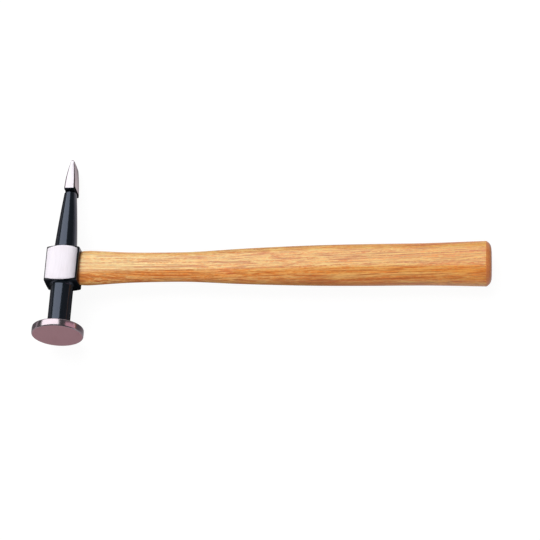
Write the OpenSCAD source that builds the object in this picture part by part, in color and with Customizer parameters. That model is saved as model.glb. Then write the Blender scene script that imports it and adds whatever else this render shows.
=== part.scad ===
// Body-work hammer: a round finishing face, a straight arm with a ground peen
// blade, and a hickory handle wedged into an oval eye.
// Origin: centre of the striking face. +X runs along the handle to its butt,
// +Y along the head to the peen, +Z out of the upper cheek of the eye block.

/* [Striking face] */
// Diameter of the round face
face_d = 41; // [36:0.5:46]
// Thickness of the face's disc at its rim
disc_t = 6.2; // [5:0.2:8]
// Radius that eases the rim's two edges
rim_r = 0.9; // [0.4:0.1:1.6]
// Swell of the rim between its edges
rim_swell = 0.1; // [0.1:0.1:0.8]
// From the striking face to the middle of the eye
face_to_eye = 59; // [54:0.5:66]
// Diameter of the lower neck
neck_d = 18; // [14:0.5:20]

/* [Eye block] */
// Width of the block along the handle
block_w = 26.8; // [24:0.2:30]
// Height of the block along the head
block_h = 30.4; // [28:0.2:34]
// Thickness of the block from cheek to cheek, at the crown
block_t = 23.2; // [20:0.2:26]
// Radius of the crowned cheeks
cheek_r = 65; // [50:5:200]
// Radius of the block's four long edges
corner_r = 1.2; // [0.8:0.2:3]
// Slope of the turned shoulders outside their flat
shoulder_angle = 8; // [4:1:20]

/* [Eye] */
// Length of the oval eye along the head, on the handle's side
eye_l = 21; // [19:0.5:22]
// Width of the eye from cheek to cheek, on the handle's side
eye_w = 10.5; // [9:0.5:12]
// How much wider the eye is all round on the far side
eye_flare = 1; // [0:0.1:1.5]

/* [Arm and peen] */
// Diameter of the arm where it leaves the block
arm_base_d = 18.4; // [17:0.2:21]
// Diameter of the arm a little under the peen blade
arm_end_d = 10.4; // [9.6:0.2:11.6]
// From the middle of the eye to the blade's shoulder
eye_to_blade = 67.5; // [60:0.5:74]
// Length of the blade from its shoulder to the corners of its edge
blade_l = 26.2; // [20:0.2:30]
// Width of the blade from cheek side to cheek side
blade_w = 17.8; // [16:0.2:22]
// Thickness of the blade at its shoulder
blade_t = 9; // [8.4:0.2:9.6]
// Thickness of the rounded edge
edge_t = 2.2; // [1.4:0.2:3]
// How far the edge stands off the arm's axis, towards the handle
edge_shift = 0.6; // [0:0.1:1.2]
// Swell of the blade's face that looks away from the handle
far_belly = 0.9; // [0.3:0.1:1.2]
// Swell of the blade's face that looks along the handle
near_belly = 0.4; // [0.2:0.1:1]
// Rise of the edge's middle over its corners
edge_crown = 0.6; // [0.6:0.1:2]

/* [Handle] */
// From the middle of the eye to the butt's crown
handle_reach = 340; // [300:5:380]
// Height of the handle at the swell behind the head
swell_h = 29.6; // [27:0.2:30]
// Thickness there
swell_t = 13.4; // [12.6:0.2:16]
// Height at the waist
waist_h = 24.9; // [22:0.2:28]
// Thickness at the waist
waist_t = 12.4; // [11:0.2:16]
// Height along the grip
grip_h = 33.8; // [30:0.2:36]
// Thickness along the grip
grip_t = 22.4; // [19:0.2:25]
// Height at the butt
butt_h = 36.4; // [34:0.2:40]
// Thickness at the butt
butt_t = 23; // [21:0.5:27]
// Rise of the butt's domed end
butt_dome = 4.2; // [2:0.2:6]
// How far the butt stands off square, towards the peen
lean = 0.9; // [0:0.1:1.5]
// Squareness of the handle's oval, where 2 is an ellipse
oval_power = 2.3; // [2:0.1:3]

/* [Wedges] */
// Width of the saw kerf's wooden wedge, along the head
wedge_w = 19; // [16:0.5:20]
// Thickness of the wooden wedge at its head
wedge_t = 3.2; // [2.4:0.2:4]
// Depth to which the wooden wedge is driven
wedge_l = 19; // [15:0.5:22]
// Width of a steel wedge, from cheek to cheek
pin_w = 7.5; // [6:0.5:8]
// Thickness of a steel wedge at its head
pin_t = 2.2; // [1.6:0.2:3]
// Depth to which a steel wedge is driven
pin_l = 11; // [8:0.5:13]
// Distance between the two steel wedges
pin_gap = 9; // [7:0.5:10]

/* [Hidden] */
$fn = 64;

overlap = 1;                    // how far joined solids run into each other
arc_steps = 6;                  // flats in each small round of an outline
ring_points = 40;               // points round the handle
ring_pitch = 9;                 // distance between the handle's rings

eye_y = face_to_eye;
far_x = -block_w / 2;
near_x = block_w / 2;
tenon_end = far_x - 0.4;        // the tenon stands a little proud of the eye
blade_y = eye_y + eye_to_blade;
edge_y = blade_y + blade_l;

// Points of a quarter or other arc, from angle a to angle b
function arc(cx, cy, r, a, b, n = arc_steps) =
    [for (i = [0:n]) let (t = a + (b - a) * i / n) [cx + r * cos(t), cy + r * sin(t)]];

// Turns a part drawn about Z so that it stands about the head's axis, +Y
module along_head() {
    rotate([-90, 0, 0]) children();
}

// Turned outline, radius against height, of the disc, neck and arm.
// The stretch inside the eye block is hidden and runs straight.
module turned_outline() {
    face_r = face_d / 2;
    neck_r = neck_d / 2;
    disc_fillet = 3;
    block_fillet = 2;
    arm_fillet = 1.6;
    blade_neck = 4;
    run_out = 2.4;
    shoulder_r = blade_t / 2 - 0.1;
    block_low = eye_y - block_h / 2;
    block_high = eye_y + block_h / 2;
    base_r = arm_base_d / 2;
    end_r = arm_end_d / 2;
    polygon(concat(
        [[0, 0]],
        arc(face_r - rim_r, rim_r, rim_r, -90, 0),
        [for (t = [0.2:0.2:0.8])
            [face_r + 4 * rim_swell * t * (1 - t), rim_r + (disc_t - 2 * rim_r) * t]],
        arc(face_r - rim_r, disc_t - rim_r, rim_r, 0, 90),
        arc(neck_r + disc_fillet, disc_t + disc_fillet, disc_fillet, 270, 180),
        arc(neck_r + block_fillet, block_low - block_fillet, block_fillet, 180, 90),
        arc(base_r + arm_fillet, block_high + arm_fillet, arm_fillet, 270, 180),
        [[end_r, blade_y - blade_neck], [shoulder_r, blade_y],
         [shoulder_r - 1, blade_y + run_out], [0, blade_y + run_out]]
    ));
}

// Section of the block across the head: crowned cheeks, flat sides and long
// edges whose rounds meet both smoothly
module block_prism() {
    crown_z = cheek_r - block_t / 2;
    round_x = block_w / 2 - corner_r;
    round_z = sqrt(pow(cheek_r - corner_r, 2) - round_x * round_x) - crown_z;
    cheek_half = round_x * cheek_r / (cheek_r - corner_r);
    intersection() {
        cube([2 * cheek_half, block_h, block_t + 2], center = true);
        for (side = [-1, 1])
            translate([0, 0, -side * crown_z])
                rotate([90, 0, 0]) cylinder(h = block_h, r = cheek_r, center = true);
    }
    cube([block_w, block_h, 2 * round_z], center = true);
    for (sx = [-1, 1], sz = [-1, 1])
        translate([sx * round_x, 0, sz * round_z])
            rotate([90, 0, 0]) cylinder(h = block_h, r = corner_r, center = true);
}

// The block with its turned shoulders: flat round the neck and the arm, then
// falling away towards the corners
module eye_block() {
    flat_r = block_t / 2;
    rim = block_w;
    drop = (rim - flat_r) * tan(shoulder_angle);
    half = block_h / 2;
    translate([0, eye_y, 0]) intersection() {
        block_prism();
        along_head() rotate_extrude()
            polygon([[0, -half], [flat_r, -half], [rim, drop - half], [rim, half - drop],
                     [flat_r, half], [0, half]]);
    }
}

// Peen blade: its outline seen on the cheek, with two swelling faces
module blade_outline() {
    half = blade_t / 2;
    edge_r = edge_t / 2;
    rise = blade_l + edge_crown - edge_r;
    steps = 8;
    // Swell at a share t of the way up, nothing at both ends
    function belly(t) = 4 * t * (1 - t);
    near_side = [for (i = [0:steps]) let (t = i / steps)
        [half + (edge_shift + edge_r - half) * t + near_belly * belly(t), rise * t]];
    far_side = [for (i = [0:steps]) let (t = 1 - i / steps)
        [-half + (edge_shift - edge_r + half) * t - far_belly * belly(t), rise * t]];
    polygon(concat(near_side, far_side));
}

// The blade's body is cut to its crown, and a ring's stretch rounds the edge
module peen_blade() {
    edge_r = edge_t / 2;
    crown_r = (blade_w * blade_w / 4 + edge_crown * edge_crown) / (2 * edge_crown);
    ring_y = edge_y + edge_crown - crown_r;
    intersection() {
        translate([0, blade_y, 0])
            linear_extrude(height = blade_w, center = true) blade_outline();
        translate([0, ring_y, 0])
            rotate([0, 90, 0]) cylinder(h = 4 * blade_t, r = crown_r - edge_r, center = true);
    }
    intersection() {
        translate([edge_shift, ring_y, 0])
            rotate([0, 90, 0]) rotate_extrude() translate([crown_r - edge_r, 0]) circle(edge_r);
        translate([-blade_t, blade_y, -blade_w / 2]) cube([2 * blade_t, 2 * blade_l, blade_w]);
    }
}

// The oval eye between two places along the handle: two tapered rounds and the
// flat-sided stretch between them. The tenon and the eye share it.
module eye_oval(x0, x1) {
    function half_width(x) = eye_w / 2 + eye_flare * (near_x - x) / block_w;
    r0 = half_width(x0);
    r1 = half_width(x1);
    offset_y = (eye_l - eye_w) / 2;
    for (side = [-1, 1])
        translate([x0, eye_y + side * offset_y, 0])
            rotate([0, 90, 0]) cylinder(h = x1 - x0, r1 = r0, r2 = r1);
    translate([0, eye_y, 0])
        rotate([90, 0, 0]) linear_extrude(height = 2 * offset_y, center = true)
            polygon([[x0, -r0], [x1, -r1], [x1, r1], [x0, r0]]);
}

module head() {
    color("silver") difference() {
        union() {
            along_head() rotate_extrude() turned_outline();
            eye_block();
            peen_blade();
        }
        eye_oval(far_x - overlap, near_x + overlap);
    }
}

// Handle sizes as [distance from the eye, height, thickness], read along it.
// Between the named places they are shares of the way from one to the next.
swell_x = 22;
waist_x = 80;
grip_x = 290;
function to_waist(x, h, t) =
    [x, swell_h + (waist_h - swell_h) * h, swell_t + (waist_t - swell_t) * t];
function to_grip(x, h, t) =
    [x, waist_h + (grip_h - waist_h) * h, waist_t + (grip_t - waist_t) * t];
handle_sizes = [
    [near_x + 0.3, swell_h - 0.7, swell_t - 0.4],
    [near_x + 3, swell_h - 0.3, swell_t - 0.1],
    to_waist(swell_x, 0, 0),
    to_waist(52, 0.78, 0.5),
    to_waist(waist_x, 1, 1),
    to_grip(104, 0.04, 0.05),
    to_grip(140, 0.46, 0.36),
    to_grip(170, 0.71, 0.6),
    to_grip(205, 0.9, 0.86),
    to_grip(245, 0.98, 0.95),
    to_grip(grip_x, 1, 1),
    [handle_reach - butt_dome, butt_h, butt_t]
];

// Smooth curve through the sizes: value k at x, by cubic steps whose slopes
// come from the neighbours
function slope(i, k) =
    let (a = max(i - 1, 0), b = min(i + 1, len(handle_sizes) - 1))
    (handle_sizes[b][k] - handle_sizes[a][k]) / (handle_sizes[b][0] - handle_sizes[a][0]);
function span_of(x, i = 0) =
    i >= len(handle_sizes) - 2 || x <= handle_sizes[i + 1][0] ? i : span_of(x, i + 1);
function size_at(x, k) =
    let (i = span_of(x), p = handle_sizes[i], q = handle_sizes[i + 1],
         l = q[0] - p[0], t = (x - p[0]) / l)
    p[k] * (1 - 3 * t * t + 2 * t * t * t) + slope(i, k) * l * (t - 2 * t * t + t * t * t)
    + q[k] * (3 * t * t - 2 * t * t * t) + slope(i + 1, k) * l * (t * t * t - t * t);

// Height of the handle's middle line over the eye's middle
function middle(x) = eye_y + lean * (x - near_x) / (handle_reach - near_x);

// One ring of the handle: a squarish oval at x, shrunk by share
function oval(x, h, t, share = 1) = [for (i = [0:ring_points - 1])
    let (a = 360 * i / ring_points, c = cos(a), s = sin(a), p = 2 / oval_power)
    [x, middle(x) + share * h / 2 * sign(c) * pow(abs(c), p), share * t / 2 * sign(s) * pow(abs(s), p)]];

// The grip from behind the head to the butt's dome, as one closed skin
module grip() {
    first = handle_sizes[0][0];
    last = handle_reach - butt_dome;
    near = [first, first + 0.8, near_x + 3, near_x + 6];
    count = ceil((last - swell_x) / ring_pitch);
    places = concat(near, [for (i = [0:count]) swell_x + (last - swell_x) * i / count]);
    sides = [for (x = places) oval(x, size_at(x, 1), size_at(x, 2))];
    dome = [for (k = [0.985, 0.96, 0.92, 0.87, 0.8, 0.7, 0.5, 0.25])
        oval(last + butt_dome * (1 - pow(k, 7.5)), butt_h, butt_t, k)];
    rings = concat(sides, dome);
    n = ring_points;
    m = len(rings);
    cap_middles = [[first, middle(first), 0], [handle_reach, middle(handle_reach), 0]];
    points = concat([for (r = rings) each r], cap_middles);
    skin = [for (j = [0:m - 2], i = [0:n - 1]) let (a = j * n + i, b = j * n + (i + 1) % n)
        each [[a, b + n, b], [a, a + n, b + n]]];
    start_cap = [for (i = [0:n - 1]) [i, (i + 1) % n, m * n]];
    end_cap = [for (i = [0:n - 1]) [(m - 1) * n + (i + 1) % n, (m - 1) * n + i, m * n + 1]];
    polyhedron(points, concat(skin, start_cap, end_cap));
}

module handle() {
    color("burlywood") difference() {
        union() {
            grip();
            eye_oval(tenon_end, near_x + 2);
        }
        wooden_wedge_body();
        for (side = [-1, 1]) steel_wedge_body(side);
    }
}

// A wedge's taper, seen along its width: thick at its head, on the far side
module wedge_taper(length, thick, tip) {
    polygon([[tenon_end, -thick / 2], [tenon_end + length, -tip / 2],
             [tenon_end + length, tip / 2], [tenon_end, thick / 2]]);
}

module wooden_wedge_body() {
    translate([0, eye_y, 0])
        rotate([90, 0, 0]) linear_extrude(height = wedge_w, center = true)
            wedge_taper(wedge_l, wedge_t, 0.8);
}

module steel_wedge_body(side) {
    translate([0, eye_y + side * pin_gap / 2, 0])
        linear_extrude(height = pin_w, center = true) wedge_taper(pin_l, pin_t, 0.5);
}

module wooden_wedge() {
    color("peru") difference() {
        wooden_wedge_body();
        for (side = [-1, 1]) steel_wedge_body(side);
    }
}

module steel_wedge_peen_side() {
    color("slategray") steel_wedge_body(1);
}

module steel_wedge_face_side() {
    color("slategray") steel_wedge_body(-1);
}

head();
handle();
wooden_wedge();
steel_wedge_peen_side();
steel_wedge_face_side();
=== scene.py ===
# %% [markdown]
# # A body-work hammer, dressed in Blender
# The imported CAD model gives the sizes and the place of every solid. This lesson builds the
# pieces that are seen: a forged head, part black enamel and part ground steel, on a lacquered
# hickory handle. All shapes are drawn in millimetres and brought to metres at the end, because
# hand tools are easier to think about that way. +X runs along the handle, +Y along the head to
# the peen, and +Z out of the cheek that faces up.

# %% The frame and its sizes
import math
import bmesh
import bpy
from mathutils import Matrix, Vector


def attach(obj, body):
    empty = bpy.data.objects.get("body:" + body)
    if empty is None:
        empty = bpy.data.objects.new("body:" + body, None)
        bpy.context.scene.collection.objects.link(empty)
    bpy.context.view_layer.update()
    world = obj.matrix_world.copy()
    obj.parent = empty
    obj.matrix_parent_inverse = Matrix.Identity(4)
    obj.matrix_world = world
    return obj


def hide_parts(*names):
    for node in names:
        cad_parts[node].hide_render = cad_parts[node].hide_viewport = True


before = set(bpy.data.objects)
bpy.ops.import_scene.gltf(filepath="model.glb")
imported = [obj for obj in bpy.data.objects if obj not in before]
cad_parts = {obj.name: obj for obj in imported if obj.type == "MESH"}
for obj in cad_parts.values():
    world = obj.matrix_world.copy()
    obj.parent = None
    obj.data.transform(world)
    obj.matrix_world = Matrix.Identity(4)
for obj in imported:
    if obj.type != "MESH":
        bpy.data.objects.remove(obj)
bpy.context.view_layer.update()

# One millimetre in metres, and the height of the eye's middle over the striking face
MM = 0.001
EYE_Y = 59.0
print("nodes", list(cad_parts))

# %% [markdown]
# ## Looking at the hammer as the photographer did
# The camera's place comes from fitting the hammer's known points to the picture: it stands
# about 1.6 m away, 63 degrees above the table and a little towards the butt. A long lens
# keeps the two ends of the handle nearly the same size. The camera's own axes are written
# out and put into its matrix, which is plainer than three turns in a row. The same small
# helper will stand the lamps up later.

# %% The camera
# Turned towards the butt, tilted towards the striking face, and rolled
TURN, TILT, ROLL = (math.radians(v) for v in (7.77, 25.56, 2.89))
# How far the camera stands from the point that it looks at, in millimetres
CAMERA_REACH = 1577.15
AIM = Vector((166.14, 55.84, 0.22))
FILM_WIDTH, LENS_RATIO, SIGHT_END = 36.0, 2000.0 / 540.0, 20.0


def standing(right, up, back, middle):
    """The matrix of something that stands at middle with these three axes."""
    place = Matrix((right, up, back)).transposed().to_4x4()
    place.translation = middle
    return place


def camera_axes():
    back = Vector((math.sin(TURN) * math.cos(TILT), -math.sin(TILT), math.cos(TURN) * math.cos(TILT)))
    level = Vector((math.cos(TURN), 0.0, -math.sin(TURN)))
    rise = back.cross(level)
    right = level * math.cos(ROLL) + rise * math.sin(ROLL)
    up = rise * math.cos(ROLL) - level * math.sin(ROLL)
    return right, up, back


def add_camera():
    right, up, back = camera_axes()
    lens = bpy.data.cameras.new("camera")
    lens.sensor_width = FILM_WIDTH
    lens.lens = FILM_WIDTH * LENS_RATIO
    lens.clip_end = SIGHT_END
    camera = bpy.data.objects.new("camera", lens)
    camera.matrix_world = standing(right, up, back, (AIM + back * CAMERA_REACH) * MM)
    bpy.context.scene.collection.objects.link(camera)
    bpy.context.scene.camera = camera
    return camera


print("camera at", tuple(round(v, 3) for v in add_camera().location))

# %% [markdown]
# ## Bench tools for the meshes
# Most of the head was forged round and then turned, so a half outline spun about the head's
# axis gives it. The outlines have small rounds, which one helper writes as arcs. The handle
# and the eye change along their length, so a circle is drawn out ring by ring for them.

# %% Arcs, turning and drawing out
MERGE_WITHIN = 1e-4


def arc(cx, cy, radius, start, end, steps=6):
    """Points of an arc from one angle to another, in degrees."""
    turns = [math.radians(start + (end - start) * i / steps) for i in range(steps + 1)]
    return [(cx + radius * math.cos(t), cy + radius * math.sin(t)) for t in turns]


def turned(outline, steps=96):
    """Spins a half outline of (radius, height) about the head's axis."""
    bm = bmesh.new()
    rail = [bm.verts.new((r, y, 0.0)) for r, y in outline]
    edges = [bm.edges.new(pair) for pair in zip(rail, rail[1:])]
    bmesh.ops.spin(bm, geom=rail + edges, cent=(0, 0, 0), axis=(0, 1, 0),
                   angle=math.tau, steps=steps, use_merge=True)
    bmesh.ops.remove_doubles(bm, verts=bm.verts, dist=MERGE_WITHIN)
    return bm


def drawn_out(rings):
    """Draws a ring of points out from place to place, and closes both ends."""
    count = len(rings[0])
    bm = bmesh.new()
    ring = bmesh.ops.create_circle(bm, segments=count, radius=1.0)["verts"]
    first = ring
    for vert, point in zip(ring, rings[0]):
        vert.co = point
    for points in rings[1:]:
        number = {vert: i for i, vert in enumerate(ring)}
        loop = [e for e in bm.edges if e.verts[0] in number and e.verts[1] in number]
        drawn = bmesh.ops.extrude_edge_only(bm, edges=loop)["geom"]
        fresh = [v for v in drawn if isinstance(v, bmesh.types.BMVert)]
        # A new point has the number of the old point that it was drawn from
        ring = sorted(fresh, key=lambda v: min(number.get(e.other_vert(v), count)
                                               for e in v.link_edges))
        for vert, point in zip(ring, points):
            vert.co = point
    bm.faces.new(first)
    bm.faces.new(ring)
    bmesh.ops.recalc_face_normals(bm, faces=bm.faces)
    return bm


print("turning and drawing out are ready")

# %% [markdown]
# ## Edges, cuts and the last touch
# Every real edge is eased a little, so a bevel is used often, on edges that are picked by how
# sharp they are and by where they lie. A piece is finished in one place: doubles merged, faces
# pointing out, smooth except at real edges, brought to metres, and told which body it rides on,
# and the CAD node that it stands for is hidden.

# %% Bevels, cuts and finishing
def bevel(bm, edges, offset, segments):
    bmesh.ops.bevel(bm, geom=edges, offset=offset, offset_type="OFFSET", segments=segments,
                    profile=0.5, affect="EDGES", clamp_overlap=True, material=-1)


def sharp_edges(bm, where=lambda middle: True, angle=50.0):
    """The edges that fold by more than angle, and whose middles pass the test."""
    bm.normal_update()
    return [e for e in bm.edges if e.is_manifold and e.calc_face_angle() > math.radians(angle)
            and where((e.verts[0].co + e.verts[1].co) / 2)]


def mesh_object(bm, name, materials, scale=MM):
    bmesh.ops.remove_doubles(bm, verts=bm.verts, dist=MERGE_WITHIN)
    bmesh.ops.recalc_face_normals(bm, faces=bm.faces)
    bmesh.ops.scale(bm, vec=(scale,) * 3, verts=bm.verts)
    mesh = bpy.data.meshes.new(name)
    bm.to_mesh(mesh)
    bm.free()
    for material in materials:
        mesh.materials.append(material)
    made = bpy.data.objects.new(name, mesh)
    bpy.context.scene.collection.objects.link(made)
    return made


def cut(made, cutters):
    """Takes the cutters out of a piece, as a drift or a saw would."""
    for cutter in cutters:
        tool = made.modifiers.new("cut", "BOOLEAN")
        tool.operation = "DIFFERENCE"
        tool.solver = "EXACT"
        tool.object = cutter
    graph = bpy.context.evaluated_depsgraph_get()
    graph.update()
    whole = bpy.data.meshes.new_from_object(made.evaluated_get(graph))
    made.modifiers.clear()
    made.data = whole
    for cutter in cutters:
        bpy.data.objects.remove(cutter)


def sort_faces(made, finish_of):
    """Brings a piece that was cut in millimetres to metres, and gives each face its finish."""
    bm = bmesh.new()
    bm.from_mesh(made.data)
    bmesh.ops.scale(bm, vec=(MM,) * 3, verts=bm.verts)
    bm.normal_update()
    for face in bm.faces:
        face.material_index = int(finish_of(face))
    bm.to_mesh(made.data)
    bm.free()


def finish(made, node, crease=34.0):
    """Smooths a piece except at its creases, ties it to its body and hides its CAD node."""
    mesh = made.data
    mesh.shade_smooth()
    mesh.set_sharp_from_angle(angle=math.radians(crease))
    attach(made, "root")
    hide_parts(node)
    low = [round(min(v.co[i] for v in mesh.vertices) / MM, 1) for i in range(3)]
    high = [round(max(v.co[i] for v in mesh.vertices) / MM, 1) for i in range(3)]
    print(made.name, len(mesh.polygons), "faces, from", low, "to", high)


print("bevels, cuts and finishing are ready")

# %% [markdown]
# ## Shader sums in plain Python
# A look is built from nodes. One small class wraps a socket so that sums can be written as
# Python expressions, and each sum adds its Math node by itself. A number may stand on either
# side, so 1 - mask works too.

# %% Sockets that can be added and multiplied
class Wire:
    def __init__(self, look, socket):
        self.look = look
        self.socket = socket

    def math(self, operation, *others):
        return self.look.math(operation, self, *others)

    def __add__(self, other):
        return self.math("ADD", other)

    def __sub__(self, other):
        return self.math("SUBTRACT", other)

    def __rsub__(self, other):
        return self.look.math("SUBTRACT", other, self)

    def __mul__(self, other):
        return self.math("MULTIPLY", other)

    def __truediv__(self, other):
        return self.math("DIVIDE", other)

    def __pow__(self, other):
        return self.math("POWER", other)

    __radd__ = __add__
    __rmul__ = __mul__

    def ramp(self, low, high):
        """0 below low, 1 above high, and an even curve between."""
        return self.look.node("ShaderNodeMapRange", {"interpolation_type": "SMOOTHSTEP"},
                              {"Value": self, "From Min": low, "From Max": high})


print("sums are ready")

# %% [markdown]
# ## One method for every other node
# Every other node comes from one method: its settings go in first, because some of them
# change which sockets it has, and then the values or links. Short methods on top of it name
# the few nodes that come back often, such as noise, a mix of two colours and a bump.

# %% Looks
MIX_SHARE, MIX_FIRST, MIX_SECOND, MIX_RESULT = 0, 6, 7, 2


class Look:
    """A material, or the world, and the nodes that it is made of."""

    def __init__(self, name, world=False):
        self.material = (bpy.data.worlds if world else bpy.data.materials).new(name)
        self.material.use_nodes = True
        self.tree = self.material.node_tree
        self.shader = self.tree.nodes["Background" if world else "Principled BSDF"]

    def node(self, kind, settings, sockets, out=0):
        made = self.tree.nodes.new(kind)
        for name, value in settings.items():
            setattr(made, name, value)
        for name, value in sockets.items():
            self.feed(made.inputs[name], value)
        return Wire(self, made.outputs[out])

    def math(self, operation, *values):
        return self.node("ShaderNodeMath", {"operation": operation}, dict(enumerate(values)))

    def feed(self, socket, value):
        if isinstance(value, Wire):
            self.tree.links.new(value.socket, socket)
        else:
            socket.default_value = value

    def surface(self, **values):
        """Feeds the shader's own sockets; an underscore in a name stands for a space."""
        for name, value in values.items():
            self.feed(self.shader.inputs[name.replace("_", " ")], value)

    def place(self, scale=(1.0, 1.0, 1.0)):
        """Object coordinates in millimetres, stretched by scale."""
        coords = self.node("ShaderNodeTexCoord", {}, {}, "Object")
        return self.stretch(coords, [s / MM for s in scale])

    def stretch(self, place, scale):
        return self.node("ShaderNodeMapping", {}, {"Vector": place, "Scale": scale})

    def axes(self, place):
        split = self.node("ShaderNodeSeparateXYZ", {}, {"Vector": place})
        return [Wire(self, output) for output in split.socket.node.outputs]

    def noise(self, place, scale=1.0, detail=2.0, roughness=0.5):
        return self.node("ShaderNodeTexNoise", {}, {"Vector": place, "Scale": scale, "Detail": detail,
                                                    "Roughness": roughness})

    def mix(self, share, first, second, blend="MIX"):
        """Share of the second colour over the first; each is a wire or three numbers."""
        firsts = first if isinstance(first, Wire) else (*first, 1.0)
        seconds = second if isinstance(second, Wire) else (*second, 1.0)
        return self.node("ShaderNodeMix", {"data_type": "RGBA", "blend_type": blend},
                         {MIX_SHARE: share, MIX_FIRST: firsts, MIX_SECOND: seconds}, MIX_RESULT)

    def bump(self, height, depth):
        """Lifts the surface by height times depth, which is in millimetres."""
        return self.node("ShaderNodeBump", {}, {"Height": height, "Distance": depth * MM,
                                                "Strength": 1.0})


print("looks are ready")

# %% [markdown]
# ## Black enamel
# The neck, the arm and the sides of the eye block are dipped in a glossy black enamel with a
# hint of blue. It is a dark dielectric with a tight highlight. Dipped paint is never quite
# level, so a faint, slow bump makes its reflections swim a little.

# %% Enamel
ENAMEL, THIN_ENAMEL, DUST = (0.0035, 0.0055, 0.0080), (0.0060, 0.0085, 0.0115), (0.2, 0.2, 0.2)


def black_enamel():
    look = Look("black_enamel")
    place = look.place()
    cloud = look.noise(place, 0.12, 3.0)
    specks = look.noise(place, 3.0, 2.0).ramp(0.62, 0.8)
    slow = look.noise(place, 0.16, 2.0)
    fine = look.noise(place, 1.3, 2.0)
    colour = look.mix(cloud, ENAMEL, THIN_ENAMEL)
    look.surface(Base_Color=look.mix(specks * 0.04, colour, DUST),
                 Roughness=cloud * 0.05 + specks * 0.1 + 0.13,
                 Normal=look.bump(slow * 0.8 + fine * 0.12, 0.12),
                 IOR=1.70, Specular_Tint=(0.66, 0.76, 1.0, 1.0))
    return look.material


enamel = black_enamel()
print("made", enamel.name)

# %% [markdown]
# ## Ground steel
# The disc, the cheeks and the blade are ground on a belt and left bright. The belt leaves
# fine parallel lines, which a noise that is squeezed across the lines and stretched along
# them gives. The lines vary the colour and the roughness, and barely lift the surface. Each
# ground surface has its own direction of lines, and its own tone where the heat of grinding
# has tinted it.

# %% Steel
STEEL = (0.575, 0.545, 0.585)
HEAT_TINT = (0.82, 0.74, 0.72)


def ground_steel(name, colour, squeeze, roughness):
    """Ground steel; squeeze is how fast its lines change along X, Y and Z, in 1/mm."""
    look = Look(name)
    fine = look.noise(look.place(squeeze), 1.0, 3.0, 0.6)
    broad = look.noise(look.place([s * 0.18 for s in squeeze]), 1.0, 2.0)
    cloud = look.noise(look.place(), 0.09, 3.0)
    bright = look.mix(fine, [c * 0.80 for c in colour], [min(c * 1.18, 1.0) for c in colour])
    tinted = [c * t for c, t in zip(colour, HEAT_TINT)]
    look.surface(Base_Color=look.mix(cloud.ramp(0.45, 0.8) * 0.25, bright, tinted), Metallic=1.0,
                 Roughness=fine * 0.10 + broad * 0.08 + roughness - 0.09,
                 Normal=look.bump(fine * 0.6 + broad, 0.02))
    return look


rim_steel = ground_steel("ground_steel_rim", (0.45, 0.385, 0.42), (0.25, 5.0, 0.25), 0.18).material
face_steel = ground_steel("ground_steel_face", (0.57, 0.335, 0.37), (5.0, 1.0, 0.12), 0.40).material
blade_steel = ground_steel("ground_steel_blade", STEEL, (3.0, 0.12, 3.0), 0.40).material
slope_steel = ground_steel("ground_steel_slope", (0.52, 0.455, 0.48), (3.0, 2.2, 0.15), 0.38).material
# The rounded edges get a steel far darker than real steel: painted shade that draws a dark line along
# them
edge_steel_painted_dark = ground_steel("steel_edges_painted_dark", (0.15, 0.115, 0.13), (1.0, 1.0, 1.0), 0.36).material
for steel in (rim_steel, face_steel, blade_steel, slope_steel, edge_steel_painted_dark):
    print("made", steel.name)

# %% [markdown]
# ## The skin of the forge, with painted shade
# Just above the arm the belt doesn't reach the blade's sloping faces, and a dull, nearly black
# skin is left from the fire. It throws back hardly any light, so it has no specular
# reflection at all, or it would look grey where it is seen at a low angle: its black is partly
# painted shade.

# %% Forging skin, kept black as painted shade
# Colours of the forging skin, dark partly as painted shade
SKIN_SHADE, THIN_SKIN_SHADE = (0.010, 0.009, 0.010), (0.022, 0.019, 0.019)


def forging_skin_painted_shade():
    look = Look("forging_skin_painted_shade")
    cloud = look.noise(look.place(), 0.8, 3.0)
    look.surface(Base_Color=look.mix(cloud, SKIN_SHADE, THIN_SKIN_SHADE), Roughness=cloud * 0.2 + 0.6,
                 Normal=look.bump(cloud, 0.04), Specular_IOR_Level=0.0)
    return look.material


skin_painted_shade = forging_skin_painted_shade()
print("made", skin_painted_shade.name)

# %% [markdown]
# ## Cheeks between enamel and steel
# Only the middle of each cheek is ground. The bright field ends in two bowed lines near the
# neck and the arm, and in two straight ones just short of the long edges, a little further
# from the edge on the handle's side. Both finishes are in one material, and a mask on the
# height and the width chooses between them. A little noise on its edge keeps the line from
# looking printed.

# %% The cheek's finish
# The bright field's half height and how fast it bows, its half width and its shift
BARE_HEIGHT, BARE_BOW = 15.05, 0.0145
BARE_WIDTH, BARE_SHIFT = 12.25, 0.3
CHEEK_PAINT_ROUGHNESS = 0.2


def cheek_finish():
    look = ground_steel("cheek_steel_and_enamel", STEEL, (4.0, 0.12, 1.0), 0.43)
    x, y, _ = look.axes(look.place())
    height = (y - EYE_Y).math("ABSOLUTE")
    waver = look.noise(look.place(), 0.7, 2.0) * 0.5 - 0.25
    edge = BARE_HEIGHT - x * x * BARE_BOW - height + waver
    side = BARE_WIDTH - (x + BARE_SHIFT).math("ABSOLUTE") + waver * 0.5
    bare = edge.ramp(-0.12, 0.12) * side.ramp(-0.15, 0.15)
    steel = {s.name: Wire(look, s.links[0].from_socket) for s in look.shader.inputs if s.is_linked}
    look.surface(Base_Color=look.mix(bare, ENAMEL, steel["Base Color"]), Metallic=bare,
                 Roughness=steel["Roughness"] * bare + (1 - bare) * CHEEK_PAINT_ROUGHNESS)
    return look.material


cheek = cheek_finish()
print("made", cheek.name)

# %% [markdown]
# ## The disc and the neck
# The lower end was turned: a flat striking face, a rim that swells a little between two eased
# edges, and a neck that runs up into the eye block with a small fillet. The outline is spun,
# and each face then gets its finish from where it lies: the striking face, the rim, or the
# painted rest.

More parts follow.
